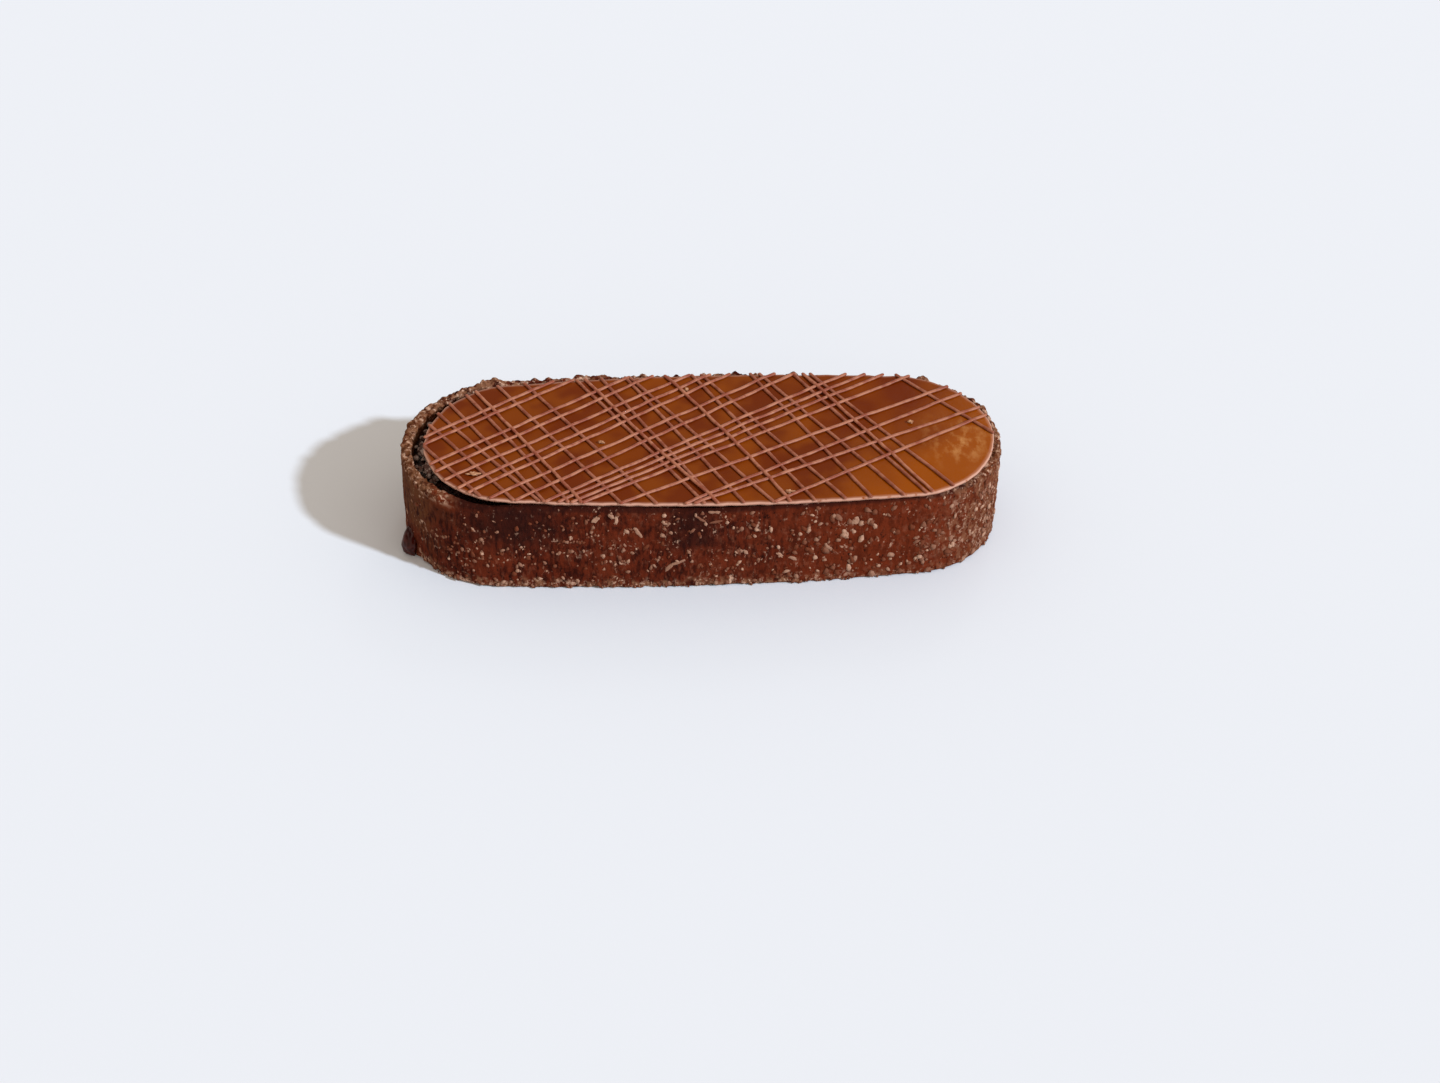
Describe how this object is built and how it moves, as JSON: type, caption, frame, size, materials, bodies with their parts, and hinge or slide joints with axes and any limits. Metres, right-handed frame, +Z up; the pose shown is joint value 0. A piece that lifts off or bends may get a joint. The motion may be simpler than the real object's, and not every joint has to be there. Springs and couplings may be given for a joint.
{
  "type": "pecan tart",
  "caption": "Small oblong pecan tart: a baked pastry case with a nut filling under a thin caramel chocolate plaque crossed by fine piped strands.",
  "frame": {"origin": "middle of the overall box, on the underside that the tart rests on", "axes": "+X along the tart towards its narrower end, +Y towards its back, +Z up"},
  "size_m": [0.12, 0.0436, 0.0226],
  "materials": {
    "baked_pastry": "dark baked shortcrust pastry, matte and crumbly, with paler grains",
    "nut_filling": "dark sticky nut filling, lumpy, half gloss",
    "pecan": "chopped roasted pecan, dry and ridged",
    "caramel_chocolate": "thin set caramel chocolate, smooth, satin to glossy",
    "piped_chocolate": "fine piped milk chocolate strands, satin",
    "crumb": "pale dry pastry crumbs"
  },
  "bodies": {
    "root": {"caramel_plaque": "caramel_chocolate", "first_pass_strand_01": "piped_chocolate", "first_pass_strand_02": "piped_chocolate", "first_pass_strand_03": "piped_chocolate", "first_pass_strand_04": "piped_chocolate", "first_pass_strand_05": "piped_chocolate", "first_pass_strand_06": "piped_chocolate", "first_pass_strand_07": "piped_chocolate", "first_pass_strand_08": "piped_chocolate", "first_pass_strand_09": "piped_chocolate", "first_pass_strand_10": "piped_chocolate", "first_pass_strand_11": "piped_chocolate", "first_pass_strand_12": "piped_chocolate", "first_pass_strand_13": "piped_chocolate", "first_pass_strand_14": "piped_chocolate", "first_pass_strand_15": "piped_chocolate", "first_pass_strand_16": "piped_chocolate", "first_pass_strand_17": "piped_chocolate", "first_pass_strand_18": "piped_chocolate", "last_pass_strand_01": "piped_chocolate", "last_pass_strand_02": "piped_chocolate", "last_pass_strand_03": "piped_chocolate", "last_pass_strand_04": "piped_chocolate", "last_pass_strand_05": "piped_chocolate", "pastry_case": "baked_pastry", "pastry_crumb_01": "crumb", "pastry_crumb_02": "crumb", "pastry_crumb_03": "crumb", "pastry_crumb_04": "crumb", "pastry_crumb_05": "crumb", "pecan_filling": "nut_filling", "pecan_piece_01": "pecan", "pecan_piece_02": "pecan", "pecan_piece_03": "pecan", "pecan_piece_04": "pecan", "second_pass_strand_01": "piped_chocolate", "second_pass_strand_02": "piped_chocolate", "second_pass_strand_03": "piped_chocolate", "second_pass_strand_04": "piped_chocolate", "second_pass_strand_05": "piped_chocolate", "second_pass_strand_06": "piped_chocolate", "second_pass_strand_07": "piped_chocolate", "second_pass_strand_08": "piped_chocolate", "second_pass_strand_09": "piped_chocolate", "second_pass_strand_10": "piped_chocolate", "second_pass_strand_11": "piped_chocolate", "second_pass_strand_12": "piped_chocolate", "second_pass_strand_13": "piped_chocolate", "second_pass_strand_14": "piped_chocolate", "second_pass_strand_15": "piped_chocolate", "second_pass_strand_16": "piped_chocolate"}
  },
  "joints": []
}
